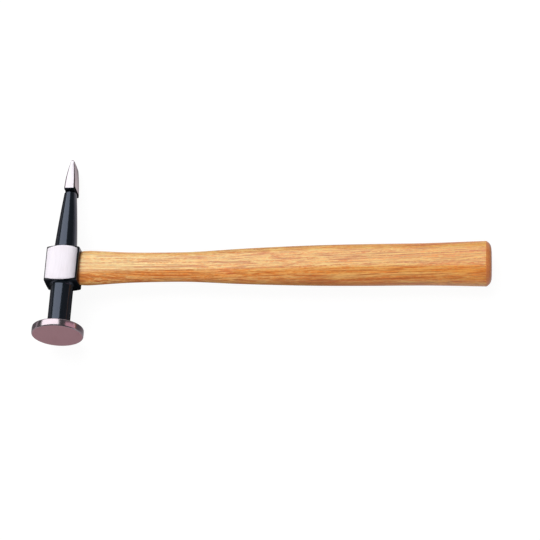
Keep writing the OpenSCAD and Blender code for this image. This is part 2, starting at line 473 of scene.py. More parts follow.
# %% Turn the disc and the neck
FACE_R, DISC_T, RIM_R, RIM_SWELL = 20.5, 6.2, 0.9, 0.075
# The neck's radius, and its fillets at the disc and at the block
NECK_R, NECK_FOOT, NECK_TOP = 9.0, 3.0, 2.0
# Rings on the flat face, so that its faces aren't long slivers
FLAT_RINGS = (8.0, 16.0)
# Where the block starts and ends, and how far the turned pieces sink into it
BLOCK_LOW, BLOCK_HIGH, SINK = 43.8, 74.2, 0.6


def disc_outline():
    swell = [(FACE_R + 4 * RIM_SWELL * t * (1 - t), RIM_R + (DISC_T - 2 * RIM_R) * t)
             for t in (0.15, 0.3, 0.5, 0.7, 0.85)]
    return ([(0.0, 0.0)] + [(r, 0.0) for r in FLAT_RINGS]
            + arc(FACE_R - RIM_R, RIM_R, RIM_R, -90, 0)
            + swell
            + arc(FACE_R - RIM_R, DISC_T - RIM_R, RIM_R, 0, 90)
            + [(FLAT_RINGS[-1], DISC_T)]
            + arc(NECK_R + NECK_FOOT, DISC_T + NECK_FOOT, NECK_FOOT, 270, 180, 8)
            + arc(NECK_R + NECK_TOP, BLOCK_LOW - NECK_TOP, NECK_TOP, 180, 90, 8)
            + [(NECK_R + 1.0, BLOCK_LOW + SINK), (0.0, BLOCK_LOW + SINK)])


def disc_finish(face):
    """0 the striking face, 1 the rim, 2 paint on the disc's back and the neck."""
    spot = face.calc_center_median()
    reach = math.hypot(spot.x, spot.z)
    if spot.y > DISC_T - 0.12 or reach < NECK_R + NECK_FOOT + 0.5 and spot.y > 1.0:
        return 2
    return 0 if spot.y < 0.05 else 1


def make_disc():
    bm = turned(disc_outline(), steps=128)
    for face in bm.faces:
        face.material_index = disc_finish(face)
    finish(mesh_object(bm, "disc_and_neck", [face_steel, rim_steel, enamel]), "head")


make_disc()

# %% [markdown]
# ## The eye block
# The block is a forged box with crowned cheeks. A cube is cut into a grid, the grid's points
# are moved to the crown and to the shoulders, which fall away from the neck and the arm, and
# the edges are then bevelled, the long ones more than the short ones.

# %% Grid, crown and bevels
# Along the handle, along the head, and from cheek to cheek
BLOCK_W, BLOCK_H, BLOCK_T = 26.8, 30.4, 23.2
# The crown's radius, and how much more the cheek falls off at its long edges
CHEEK_R, CHEEK_EDGE = 65.0, 0.52
SHOULDER_FLAT, SHOULDER_SLOPE = 11.6, math.tan(math.radians(8.0))
GRID_CUTS, LONG_EDGE_R, SHORT_EDGE_R, LONG_EDGE_END = 13, 1.2, 0.45, 14.0


def block_point(point):
    """Moves a point of the plain box to the forged block."""
    x, y, z = point
    crown = CHEEK_R - math.sqrt(CHEEK_R ** 2 - x * x) + CHEEK_EDGE * (2 * x / BLOCK_W) ** 6
    z *= 1 - crown / (BLOCK_T / 2)
    fall = max(math.hypot(x, z) - SHOULDER_FLAT, 0.0) * SHOULDER_SLOPE / (BLOCK_H / 2)
    return x, EYE_Y + y * (1 - fall), z


def block_mesh():
    bm = bmesh.new()
    bmesh.ops.create_cube(bm, size=1.0)
    bmesh.ops.scale(bm, vec=(BLOCK_W, BLOCK_H, BLOCK_T), verts=bm.verts)
    bmesh.ops.subdivide_edges(bm, edges=bm.edges, cuts=GRID_CUTS, use_grid_fill=True)
    for vert in bm.verts:
        vert.co = block_point(vert.co)
    long_edges = sharp_edges(bm, lambda middle: abs(middle.y - EYE_Y) < LONG_EDGE_END)
    bevel(bm, long_edges, LONG_EDGE_R, 5)
    bevel(bm, sharp_edges(bm, angle=40.0), SHORT_EDGE_R, 3)
    return bm


print("block", BLOCK_W, "x", BLOCK_H, "x", BLOCK_T, "mm")

# %% [markdown]
# ## The oval eye
# A drift, driven through the hot block, opens the oval eye, which is wider on the far side so
# that the wedges can spread the tenon there. Here a tapered oval is drawn out and a Boolean cut
# takes it out of the block. The drift flares at both ends, which eases the eye's mouths.

# %% Drive the drift through
EYE_L, EYE_W, EYE_FLARE, EYE_POINTS = 21.0, 10.5, 1.0, 48
# The block's sides: the far one, with the wedges, and the one near the handle
FAR_X, NEAR_X = -BLOCK_W / 2, BLOCK_W / 2
# Faces further out than this belong to a cheek
CHEEK_LEVEL = 8.5


def eye_ring(x, extra):
    """The eye's outline at x: two half rounds joined by flats, grown by extra."""
    half = EYE_W / 2 + EYE_FLARE * (NEAR_X - x) / BLOCK_W + extra
    straight = (EYE_L - EYE_W) / 2
    ring = []
    for i in range(EYE_POINTS):
        turn = math.tau * (i + 0.5) / EYE_POINTS
        c, s = math.cos(turn), math.sin(turn)
        ring.append((x, EYE_Y + c * half + math.copysign(straight, c), s * half))
    return ring


# Places along the drift, and how far it stands off the eye's wall there
DRIFT = [(FAR_X - 1.1, 1.1), (FAR_X + 0.25, 0.2), (FAR_X + 0.8, 0), (0, 0),
         (NEAR_X - 0.8, 0), (NEAR_X - 0.25, 0.2), (NEAR_X + 1.1, 1.1)]


def block_finish(face):
    """0 enamel, 1 the cheek's own finish."""
    return abs(face.normal.z) > 0.5 and abs(face.calc_center_median().z) > CHEEK_LEVEL * MM


def make_block():
    block = mesh_object(block_mesh(), "eye_block", [enamel, cheek], scale=1.0)
    drift = drawn_out([eye_ring(*place) for place in DRIFT])
    cut(block, [mesh_object(drift, "eye_drift", [enamel], scale=1.0)])
    sort_faces(block, block_finish)
    finish(block, "head", crease=28.0)


make_block()

# %% [markdown]
# ## The arm
# The arm leaves the block with a small fillet and tapers almost as a cone to a slim end under
# the blade. It was hammered a little flat on its way, so near the blade it is deeper from
# cheek to cheek than it is wide, and it leans a hair towards the far side. The outline is spun
# and its points are moved for that. Its foot sinks into the block, and its end is rounded, so
# that a dark gap shows under the blade.

# %% Turn the arm
BLADE_Y = 126.5
ARM_BASE_R, ARM_END_R, ARM_BELLY = 9.15, 5.15, 0.27
ARM_DEEPER, ARM_LEAN, ARM_SHIFT = 0.27, 0.45, 0.08
# The fillet at the block, the round at the end, and how far under the blade each part stops
ARM_FOOT, ARM_ROUND, TAPER_STOP, ROUND_STOP = 1.6, 1.5, 1.9, 1.7
# The arm's flat end, and how far it pokes into the blade
ARM_TOP_R, ARM_POKE = 3.0, 0.2


def arm_taper(steps=10):
    low, high = BLOCK_HIGH + ARM_FOOT, BLADE_Y - TAPER_STOP
    shares = [i / steps for i in range(1, steps + 1)]
    return [(ARM_BASE_R + (ARM_END_R - ARM_BASE_R) * t + ARM_BELLY * 4 * t * (1 - t),
             low + (high - low) * t) for t in shares]


def arm_point(point):
    """Deepens the round arm towards the blade, and leans it a hair off its axis."""
    x, y, z = point
    t = min(max((y - BLOCK_HIGH) / (BLADE_Y - BLOCK_HIGH), 0.0), 1.0)
    return x - ARM_SHIFT - ARM_LEAN * t, y, z * (1 + ARM_DEEPER * t ** 4)


def make_arm():
    outline = ([(0.0, BLOCK_HIGH - SINK), (ARM_BASE_R + 1.0, BLOCK_HIGH - SINK)]
               + arc(ARM_BASE_R + ARM_FOOT, BLOCK_HIGH + ARM_FOOT, ARM_FOOT, 270, 180, 8)
               + arm_taper()
               + arc(ARM_END_R - ARM_ROUND, BLADE_Y - ROUND_STOP, ARM_ROUND, 10, 90)
               + [(ARM_TOP_R, BLADE_Y + ARM_POKE), (0.0, BLADE_Y + ARM_POKE)])
    bm = turned(outline)
    for vert in bm.verts:
        vert.co = arm_point(vert.co)
    finish(mesh_object(bm, "peen_arm", [enamel]), "head")


make_arm()

# %% [markdown]
# ## The peen blade
# The end of the arm was forged flat and ground to a blade whose edge lies across the handle.
# Seen on the cheek it is a wedge with two slightly swelling faces, and seen from the handle
# its edge is crowned. A cube has its edges bevelled, is cut into slices and then moved to that
# form. Its underside stays painted, the lowest two millimetres of the sloping faces keep the
# skin of the forge, kept black as painted shade, and the rounded edges get a steel far darker
# than the ground flats, painted shade that draws a dark line along them.

# %% Where the blade's points and finishes go
BLADE_L, BLADE_W, BLADE_T, EDGE_T = 26.79, 17.8, 9.0, 2.2
# The edge stands off the axis, the two faces swell, and the edge's middle stands proud
EDGE_SHIFT, FAR_BELLY, NEAR_BELLY, EDGE_CROWN = 0.6, 0.9, 0.4, 0.6
# The tip's round, and how high paint and the forging skin with its painted shade reach over the
# shoulder
TIP_R, TIP_BLUNT, PAINT_BAND, SKIN_SHADE_BAND = 1.2, 0.94, 0.85, 2.3


def blade_point(point):
    """Moves a point of the plain block to the ground blade."""
    side, t, z = point.x * 2 / BLADE_T, point.y / BLADE_L + 0.5, point.z
    round_share = max(0.0, (t - 1) * BLADE_L / TIP_R + 1)
    half = (BLADE_T + (EDGE_T - BLADE_T) * t) / 2 * math.sqrt(1 - TIP_BLUNT * round_share ** 2)
    belly = NEAR_BELLY if side > 0 else FAR_BELLY
    x = EDGE_SHIFT * t + side * (half + belly * 4 * t * (1 - t))
    crown = EDGE_CROWN * (2 * z / BLADE_W) ** 2
    return x, BLADE_Y + t * BLADE_L - crown * t ** 3, z


def blade_finish(face):
    """0 ground flats, 1 paint, 2 sloping faces, 3 rounded edges painted dark, 4 the skin of the forge,
    kept black as painted shade.
    """
    height = face.calc_center_median().y + BLADE_L / 2
    flat, sloping = abs(face.normal.z) > 0.99, abs(face.normal.x) > 0.99
    if height < SKIN_SHADE_BAND and abs(face.normal.x) > 0.35:
        return 4
    if height < PAINT_BAND:
        return 1
    if height > BLADE_L - TIP_R * 0.8:
        return 3
    return 0 if flat else 2 if sloping else 3


print("blade", BLADE_W, "mm wide,", EDGE_T, "mm thick at its edge")

# %% [markdown]
# ## Shaping the blade
# A plain cube has no points between its corners, so it can't bend. Planes square to its axes
# slice it where it will bend, closer together at the tip. Each face gets its finish while the
# block is still square, because its normal then tells plainly which side it belongs to.

# %% Bevel, slice and shape
SIDE_EASE, TIP_EASE, SHOULDER_EASE = 1.15, 0.4, 0.8


def slice_across(bm, axis, places):
    """Cuts a mesh by planes square to an axis, so that it can bend there."""
    normal = [float(i == axis) for i in range(3)]
    for place in places:
        spot = [n * place for n in normal]
        geom = list(bm.verts) + list(bm.edges) + list(bm.faces)
        bmesh.ops.bisect_plane(bm, geom=geom, dist=1e-5, plane_co=spot, plane_no=normal)


def make_blade():
    bm = bmesh.new()
    bmesh.ops.create_cube(bm, size=1.0)
    bmesh.ops.scale(bm, vec=(BLADE_T, BLADE_L, BLADE_W), verts=bm.verts)
    top, bottom = BLADE_L / 2, -BLADE_L / 2
    bevel(bm, [e for e in bm.edges if abs(e.verts[0].co.y - e.verts[1].co.y) > 1.0], SIDE_EASE, 4)
    bevel(bm, sharp_edges(bm, lambda middle: middle.y > top - 0.01), TIP_EASE, 3)
    bevel(bm, sharp_edges(bm, lambda middle: middle.y < bottom + 0.01), SHOULDER_EASE, 4)
    bands = [PAINT_BAND - top, SKIN_SHADE_BAND - top]
    slopes = [BLADE_L * (0.1 * i - 0.5) for i in range(1, 10)]
    tip = [top - TIP_R * (1 - k) for k in (0.0, 0.35, 0.6, 0.8)]
    slice_across(bm, 1, bands + slopes + tip)
    slice_across(bm, 2, [BLADE_W * i / 12 for i in range(-5, 6)])
    for face in bm.faces:
        face.material_index = blade_finish(face)
    for vert in bm.verts:
        vert.co = blade_point(vert.co)
    finishes = [blade_steel, enamel, slope_steel, edge_steel_painted_dark, skin_painted_shade]
    finish(mesh_object(bm, "peen_blade", finishes), "head", crease=30.0)


make_blade()

# %% [markdown]
# ## The grain of the hickory
# The growth rings of the board lie nearly flat across the handle: they are circles about a
# pith far below it, bent a little by slow noise. The grain rises towards the butt and dips
# near the head, where the shaved surface meets the rings at a low angle and their lines widen
# to a flame. All patterns of the wood are laid on these bent coordinates.

# %% Rings and grain
PITH_Y, PITH_Z, RING_GAP = EYE_Y - 95.0, 14.0, 3.1
# Where the grain is lowest, and how fast it rises beyond that place and before it
GRAIN_X, GRAIN_RISE, FLAME = 90.0, 0.00010, 0.0009
# How far slow and quick noise bend the rings, in millimetres
SLOW_BEND, QUICK_BEND = 12.0, 2.2


def bent_grain(look, heart_and_shade):
    """Coordinates that follow the grain as it rises to the butt and dips near the head."""
    x, y, z = look.axes(look.place())
    beyond = x - GRAIN_X
    before = (GRAIN_X - x).math("MAXIMUM", 0.0)
    rise = beyond * beyond * GRAIN_RISE + before * before * heart_and_shade * FLAME
    return look.node("ShaderNodeCombineXYZ", {}, {"X": x, "Y": y - rise, "Z": z})


def along_grain(look, grain, along, across, detail=2.0, roughness=0.6):
    """Noise that is drawn out along the grain: how fast it changes each way, in 1/mm."""
    return look.noise(look.stretch(grain, (along, across, across)), 1.0, detail, roughness)


def growth_rings(look, grain):
    """Where a point lies in its ring, from 0 to 1, and its distance from the pith in mm."""
    _, y, z = look.axes(grain)
    slow = along_grain(look, grain, 0.006, 0.03, 1.0, 0.5)
    quick = along_grain(look, grain, 0.011, 0.12, 2.0, 0.5)
    up, across = y - PITH_Y, z - PITH_Z
    reach = (up * up + across * across) ** 0.5 + (slow - 0.5) * SLOW_BEND + (quick - 0.5) * QUICK_BEND
    return (reach / RING_GAP).math("FRACT"), reach


print("a ring every", RING_GAP, "mm")

# %% [markdown]
# ## The colours of the hickory
# Sapwood is cream and heartwood is amber, and here the side of the handle towards the striking
# face is redder and darker: partly heartwood, partly painted shade of the side turned from the
# light. Over that lie pale flecks and short red dashes, all drawn out along the grain. Each group
# of layers is one function, and each layer mixes one more colour in by the strength of its mask.

# %% Broad colours, flecks and dashes
CREAM, HONEY = (1.0, 0.59, 0.20), (1.0, 0.44, 0.085)
STRAW, GOLD = (1.0, 0.71, 0.28), (1.0, 0.62, 0.17)
AMBER, RUST, PORE = (0.92, 0.30, 0.055), (0.60, 0.148, 0.026), (0.34, 0.085, 0.018)
# How fast each layer changes along and across the grain, in 1/mm, then detail and roughness
STREAK_SIZE, RED_BAND_SIZE, CREAM_BAND_SIZE = (0.010, 0.30, 3.0), (0.010, 0.20), (0.007, 0.40)
HAIR_SIZE, FLECK_SIZE, LINE_SIZE, DASH_SIZE = (0.028, 1.25), (0.33, 1.45), (0.012, 0.90), (0.040, 1.55)
FIBRE_SIZE, PORE_SIZE = (0.05, 3.0, 3.0, 0.65), (0.25, 4.2, 1.0)


def board_colour(look, layer, streak, warm, heart_and_shade):
    """Streaks from cream to amber, redder and darker towards the heart, partly as painted shade."""
    light, dark = look.mix(warm, CREAM, HONEY), look.mix(warm, HONEY, AMBER)
    colour = look.mix(streak.ramp(0.36, 0.64), light, dark)
    colour = look.mix(heart_and_shade * 0.70, colour, AMBER)
    red_bands = layer(*RED_BAND_SIZE).ramp(0.54, 0.68)
    colour = look.mix(red_bands * (heart_and_shade * 0.24 + 0.16), colour, RUST)
    cream_bands = layer(*CREAM_BAND_SIZE).ramp(0.52, 0.62)
    return look.mix(cream_bands * heart_and_shade * 0.55, colour, CREAM)


def flecked_colour(look, layer, colour, warm, heart_and_shade, late):
    """Pale hair lines and flecks, weaker in the heart and its painted shade."""
    pale = look.mix(warm, STRAW, GOLD)
    hairs = layer(*HAIR_SIZE).ramp(0.47, 0.55) * (1 - late)
    colour = look.mix(hairs * (0.85 - heart_and_shade * 0.42), colour, pale)
    flecks = layer(*FLECK_SIZE).ramp(0.50, 0.56)
    return look.mix(flecks * (0.75 - heart_and_shade * 0.45), colour, pale)


def dashed_colour(look, layer, colour, heart_and_shade, early):
    """Red lines, and shorter red dashes."""
    lines = layer(*LINE_SIZE).ramp(0.53, 0.61)
    colour = look.mix(lines * (heart_and_shade * 0.15 + 0.55), colour, RUST)
    dashes = layer(*DASH_SIZE).ramp(0.54, 0.61)
    return look.mix(dashes * (early * 0.15 + 0.50), colour, RUST)


print("layers of colour are ready")

# %% [markdown]
# ## Hickory under lacquer
# Each ring goes from pale early wood to a dark line of late wood, and short dark pores follow
# the grain. A gamma deepens the contrast of all layers together, and the wood is painted darker
# where it runs into the head, as painted shade in the joint. The end of the butt and
# the end of the tenon show the same rings cut across, darker, because end grain drinks the
# lacquer. The lacquer itself is the shader's coat.

# %% The wood's two looks
# Where the heart and its painted shade begin under the eye's middle, how far the border wavers, and how
# wide it is
HEART_SHADE_DROP, HEART_SHADE_WAVER, HEART_SHADE_BORDER = 4.5, 5.0, 6.0
# The wood grows warmer over this length
WARM_REACH = 330.0
CONTRAST, LIFT = 1.25, (1.02, 1.20, 1.62)
# Painted shade where the wood runs into the head: where it starts and ends, and its colour
JOINT_START, JOINT_END, JOINT_SHADE = NEAR_X + 0.1, NEAR_X + 2.2, (0.16, 0.032, 0.012)
END_GRAIN = (0.80, 0.23, 0.085)


def hickory(name, end_faces):
    look = Look(name)
    x, y, _ = look.axes(look.place())
    border = look.noise(look.place((0.01, 0.3, 0.3))) * HEART_SHADE_WAVER
    # Redder wood on the lower side: partly heartwood, partly painted shade of the side turned from the
    # light
    heart_and_shade = (EYE_Y - HEART_SHADE_DROP - y + border).ramp(0.0, HEART_SHADE_BORDER)
    grain = bent_grain(look, heart_and_shade)

    def layer(*size):
        return along_grain(look, grain, *size)

    ring, reach = growth_rings(look, grain)
    late = ring.ramp(0.55, 0.90) * (1 - ring.ramp(0.93, 1.0))
    early = 1 - ring.ramp(0.25, 0.6)
    year = look.noise(look.node("ShaderNodeCombineXYZ", {}, {"X": reach}), 0.21, 2.0)
    streak = layer(*STREAK_SIZE)
    warm = (x / WARM_REACH + (streak - 0.5) * 0.8).ramp(0.0, 1.0)
    fibre = layer(*FIBRE_SIZE)
    pores = layer(*PORE_SIZE).ramp(0.60, 0.72)

    # Broad colour first, then the rings, flecks, dashes, fibres and pores
    colour = board_colour(look, layer, streak, warm, heart_and_shade)
    colour = look.mix(late * (year.ramp(0.4, 0.65) * 0.62 + 0.08), colour, RUST)
    colour = flecked_colour(look, layer, colour, warm, heart_and_shade, late)
    colour = dashed_colour(look, layer, colour, heart_and_shade, early)
    colour = look.mix(fibre.ramp(0.45, 0.75) * 0.18, colour, RUST)
    colour = look.mix(pores * (early * 0.25 + 0.25), colour, PORE)

    # More contrast, then painted shade where the wood runs into the head, and the end grain
    deep = look.node("ShaderNodeGamma", {}, {"Color": colour, "Gamma": CONTRAST})
    joint_shade = 1 - x.ramp(JOINT_START, JOINT_END)
    colour = look.mix(joint_shade * 0.65, look.mix(1.0, deep, LIFT, "MULTIPLY"), JOINT_SHADE)
    rough = streak * 0.08 + pores * 0.14 + 0.24
    if end_faces:
        colour = look.mix(0.66, colour, END_GRAIN)
        rough = rough + 0.16
    height = 1 - pores * 0.9 - late * 0.25 - fibre * 0.2
    look.surface(Base_Color=colour, Roughness=rough, Normal=look.bump(height, 0.06),
                 Specular_IOR_Level=0.30, Coat_Weight=0.5 if end_faces else 0.6,
                 Coat_Roughness=0.16, Coat_IOR=1.57)
    return look.material


side_wood = hickory("lacquered_hickory", False)
end_wood = hickory("hickory_end_grain", True)
print("made", side_wood.name, end_wood.name)

# %% [markdown]
# ## The handle's sizes
# The handle was turned on a copying lathe and shaved: a squarish oval that swells behind the
# head, narrows to a waist, fills the palm, and flares at the butt. Its height and thickness
# are known at a few places along it, the height from the photograph. A smooth curve through
# them gives the sizes between, with cubic steps whose slopes come from the neighbours.

# %% Sizes along the handle
# Distances from the eye's middle, the rise of the butt's dome, and the butt's shift to the peen
SWELL_X, WAIST_X, GRIP_X, REACH, DOME, LEAN = 22.0, 80.0, 290.0, 340.0, 4.2, 0.9
# Height and thickness at the named places
SWELL, WAIST, GRIP, BUTT = (29.6, 13.4), (24.9, 12.4), (33.8, 22.4), (36.4, 23.0)
HEIGHT, THICKNESS = 1, 2


def between(x, start, end, share_h, share_t):
    """Sizes at x as shares of the way from one named place to the next."""
    return x, start[0] + (end[0] - start[0]) * share_h, start[1] + (end[1] - start[1]) * share_t


SIZES = [
    (NEAR_X + 0.05, SWELL[0] - 0.7, SWELL[1] - 0.4),
    (NEAR_X + 2.6, SWELL[0] - 0.3, SWELL[1] - 0.1),
    (SWELL_X, *SWELL),
    between(52.0, SWELL, WAIST, 0.78, 0.5),
    (WAIST_X, *WAIST),
    between(104.0, WAIST, GRIP, 0.04, 0.05),
    between(140.0, WAIST, GRIP, 0.46, 0.36),
    between(170.0, WAIST, GRIP, 0.71, 0.60),
    between(205.0, WAIST, GRIP, 0.90, 0.86),
    between(245.0, WAIST, GRIP, 0.98, 0.95),
    (GRIP_X, *GRIP),
    (REACH - DOME, *BUTT),
]


def slope(i, k):
    """How fast size k changes at place i, from its neighbours."""
    a, b = SIZES[max(i - 1, 0)], SIZES[min(i + 1, len(SIZES) - 1)]
    return (b[k] - a[k]) / (b[0] - a[0])


def size_at(x, k):
    """Size k, the height or the thickness, at a distance x from the eye's middle."""
    i = max(j for j in range(len(SIZES) - 1) if x >= SIZES[j][0] or j == 0)
    p, q = SIZES[i], SIZES[i + 1]
    span = q[0] - p[0]
    t = (x - p[0]) / span
    return (p[k] * (1 - 3 * t * t + 2 * t ** 3) + slope(i, k) * span * (t - 2 * t * t + t ** 3)
            + q[k] * (3 * t * t - 2 * t ** 3) + slope(i + 1, k) * span * (t ** 3 - t * t))


print("the handle is measured at", len(SIZES), "places")

# %% [markdown]
# ## The handle
# A circle is drawn out ring by ring along the handle, and each ring is set to the squarish
# oval of its place, which gets squarer towards the palm. The shoulder is cut rounder at the
# top and the bottom than at the sides, so the rings bow away from the head there. At the butt
# the last rings shrink along a dome.

# %% Draw the handle out ring by ring
RING_POINTS, RING_COUNT = 72, 78
# 2 would be an ellipse; the palm's oval is squarer by this much
OVAL_POWER, SQUARER = 2.3, 0.3
SHOULDER_BOW, SHOULDER_REACH = 0.2, 7.0
# Steps behind the shoulder, and the share to which each ring shrinks
SHOULDER_EASES = ((0.0, 0.98), (0.3, 0.996), (0.8, 1.0), (1.6, 1.0))
DOME_SHARES, DOME_POWER = (0.988, 0.972, 0.955, 0.93, 0.9, 0.86, 0.8, 0.7, 0.55, 0.35, 0.12), 7.5


def oval_ring(x, height, thick, share=1.0):
    """A squarish oval at x, shrunk by share."""
    palm = min(max((x - WAIST_X) / (GRIP_X - WAIST_X), 0.0), 1.0)
    power = 2 / (OVAL_POWER + SQUARER * palm)
    middle = EYE_Y + LEAN * (x - NEAR_X) / (REACH - NEAR_X)
    points = []
    for i in range(RING_POINTS):
        c, s = math.cos(math.tau * i / RING_POINTS), math.sin(math.tau * i / RING_POINTS)
        bow = SHOULDER_BOW * c * c * max(0.0, 1 - (x - NEAR_X) / SHOULDER_REACH)
        points.append((x + bow,
                       middle + share * height / 2 * math.copysign(abs(c) ** power, c),
                       share * thick / 2 * math.copysign(abs(s) ** power, s)))
    return points


def side_ring(x, share=1.0):
    return oval_ring(x, size_at(x, HEIGHT), size_at(x, THICKNESS), share)


def handle_rings():
    first, last = SIZES[0][0], REACH - DOME
    rings = [side_ring(first + step, share) for step, share in SHOULDER_EASES]
    rings += [side_ring(NEAR_X + step) for step in (2.6, 4.5, 6.5)]
    rings += [side_ring(SWELL_X + (last - SWELL_X) * i / RING_COUNT) for i in range(RING_COUNT)]
    rings += [side_ring(last - 0.3), side_ring(last)]
    rings += [oval_ring(last + DOME * (1 - k ** DOME_POWER), *BUTT, k) for k in DOME_SHARES]
    return rings


def grip_finish(face):
    """0 the sides, 1 the butt's end grain."""
    return face.normal.x > 0.25 and face.calc_center_median().x > 300.0


def make_grip():
    bm = drawn_out(handle_rings())
    for face in bm.faces:
        face.material_index = int(grip_finish(face))
    made = mesh_object(bm, "handle_grip", [side_wood, end_wood])
    finish(made, "handle", crease=40.0)


make_grip()

# %% [markdown]
# ## The tenon
# Behind the shoulder the handle goes through the eye as a tapered tenon. Its far end is sawn
# off nearly flush and eased. Slots are cut in it for the wedges: the kerf for the wooden one,
# and one across it for each steel one. They are cut a hair wide, so that a thin dark line shows
# round each wedge, as it does on a real hammer. One helper makes the tapered block for every
# slot and every wedge, so they always match.

# %% Cut the slots
TENON_END = FAR_X - 0.4
# Distance between the two steel wedges
PIN_GAP = 9.0
# Length, then the head's and the tip's sizes along Y and Z
KERF = (19.0, (19.0, 3.2), (19.0, 0.8))
PIN = (11.0, (2.2, 7.5), (0.5, 7.5))
# Places along the tenon, and how far it stands off the eye's wall there
TENON = [(TENON_END, -0.39), (TENON_END + 0.12, -0.16), (TENON_END + 0.35, -0.04), (FAR_X + 3.0, -0.04),
         (0.0, -0.04), (NEAR_X - 0.5, -0.04), (NEAR_X + 2.0, -0.3)]


def taper_block(size, y, grow, lift, ease=0.0):
    """A wedge's form, y from the eye's middle: grown all round, its head lifted off the tenon's end."""
    length, head, tip = size
    bm = bmesh.new()
    bmesh.ops.create_cube(bm, size=1.0)
    for vert in bm.verts:
        deep = vert.co.x > 0
        along_y, along_z = tip if deep else head
        vert.co = (TENON_END + (length if deep else -lift), vert.co.y * (along_y + 2 * grow),
                   vert.co.z * (along_z + 2 * grow))
    if ease:
        bevel(bm, list(bm.edges), ease, 3)
    bmesh.ops.translate(bm, vec=(0.0, EYE_Y + y, 0.0), verts=bm.verts)
    return bm


def make_tenon():
    rod = drawn_out([eye_ring(*place) for place in TENON])
    tenon = mesh_object(rod, "handle_tenon", [side_wood, end_wood], scale=1.0)
    slots = [taper_block(KERF, 0.0, grow=0.12, lift=1.0)]
    slots += [taper_block(PIN, side * PIN_GAP / 2, grow=0.12, lift=1.0) for side in (-1, 1)]
    cut(tenon, [mesh_object(slot, "slot", [], scale=1.0) for slot in slots])
    sort_faces(tenon, lambda face: face.normal.x < -0.5)
    finish(tenon, "handle", crease=40.0)


make_tenon()

# %% [markdown]
# ## What the wedges are made of
# The wooden wedge is a dense wood with its grain along the drive, so its head shows fine end
# grain. The steel wedges are stamped from strip and keep a dull, slightly brown skin.

# %% Wedge finishes
RAY_LIGHT, RAY_DARK = (0.46, 0.25, 0.11), (0.27, 0.125, 0.05)
STRIP, STRIP_RUST = (0.30, 0.30, 0.31), (0.16, 0.10, 0.07)


def wedge_wood():
    look = Look("wedge_hardwood")
    rays = look.noise(look.place((0.1, 3.2, 1.6)), 1.0, 3.0, 0.6)
    cloud = look.noise(look.place(), 0.25, 2.0)
    look.surface(Base_Color=look.mix(rays.ramp(0.3, 0.7), RAY_LIGHT, RAY_DARK),
                 Roughness=cloud * 0.15 + 0.55, Normal=look.bump(rays, 0.08))
    return look.material


def wedge_steel():
    look = Look("stamped_steel")
    place = look.place()
    fine = look.noise(place, 4.0, 2.0)
    rust = look.noise(place, 0.6, 3.0).ramp(0.55, 0.75)
    look.surface(Base_Color=look.mix(rust * 0.6, STRIP, STRIP_RUST), Metallic=1 - rust * 0.5,
                 Roughness=fine * 0.15 + rust * 0.2 + 0.34, Normal=look.bump(fine, 0.05))
    return look.material


hard_wood = wedge_wood()
strip_steel = wedge_steel()
print("made", hard_wood.name, strip_steel.name)

# %% [markdown]
# ## The wedges
# The wooden wedge is driven first and split by the two steel ones, so it is cut where they
# pass. Each is a hair slimmer than its slot and has eased edges, and each was driven home a
# little below the tenon's end.

# %% Drive the wedges
def make_kerf_wedge():
    wedge = taper_block(KERF, 0.0, grow=-0.02, lift=-0.12, ease=0.12)
    made = mesh_object(wedge, "kerf_wedge", [hard_wood])
    gaps = [taper_block(PIN, side * PIN_GAP / 2, grow=0.08, lift=1.0) for side in (-1, 1)]
    cut(made, [mesh_object(gap, "gap", []) for gap in gaps])
    finish(made, "wooden_wedge", crease=40.0)


def make_cross_wedge(name, node, side):
    pin = taper_block(PIN, side * PIN_GAP / 2, grow=-0.02, lift=-0.22, ease=0.22)
    finish(mesh_object(pin, name, [strip_steel]), node, crease=40.0)


make_kerf_wedge()
make_cross_wedge("cross_wedge_peen_side", "steel_wedge_peen_side", 1)
make_cross_wedge("cross_wedge_face_side", "steel_wedge_face_side", -1)

# %% [markdown]
# ## The table
# The hammer lies on its side on three points: the rim of the disc, a corner of the blade and
# the underside of the butt. The table is the plane through them, so it is tilted a few
# degrees against the hammer's own axes. It looks white to the camera, as the photograph's
# background does, and it keeps a very faint shadow. What the enamel and the steel mirror of it
# is painted light: to reflections the table glows, with a painted bright patch beside the arm,
# a bright strip in front, a painted shadow under the head and a brighter far field, and the
# glow is a little pink.

# %% The table's finish
# The pink of the painted reflection glow, and the near-black paper under it that mirrors see
PAINTED_GLOW_TINT = (1.0, 0.92, 0.95)
PAPER_DARK, PAPER_LIGHT, PAPER_UNDER_PAINTED_GLOW = (0.13, 0.13, 0.13), (0.15, 0.15, 0.15), (0.025, 0.022, 0.023)
BLACK, WHITE = (0.0, 0.0, 0.0), (1.0, 1.0, 1.0)


def painted_mirror_light(look):
    """Painted light and shade that mirrors see on the table, from place to place."""
    x, y, _ = look.axes(look.place())
    up = y - EYE_Y
    # Painted light beside the arm and above the handle, a painted glow in front and far off, and
    # painted shade under the head
    beside = x.ramp(0.0, 10.0) * (1 - x.ramp(40.0, 90.0))
    painted_light_patch = beside * (up.ramp(0.0, 12.0) * 0.75 + up.ramp(66.0, 80.0) * 0.18)
    painted_front_glow = 1 - y.ramp(0.0, 25.0)
    painted_shadow_under_head = x.ramp(-45.0, -18.0) * (1 - x.ramp(16.0, 30.0)) * y.ramp(12.0, 28.0)
    far = (x * x + up * up) ** 0.5
    return painted_light_patch + painted_front_glow * 0.36 + (1 - painted_shadow_under_head) * 0.15 + far.ramp(170.0, 320.0) * 0.45


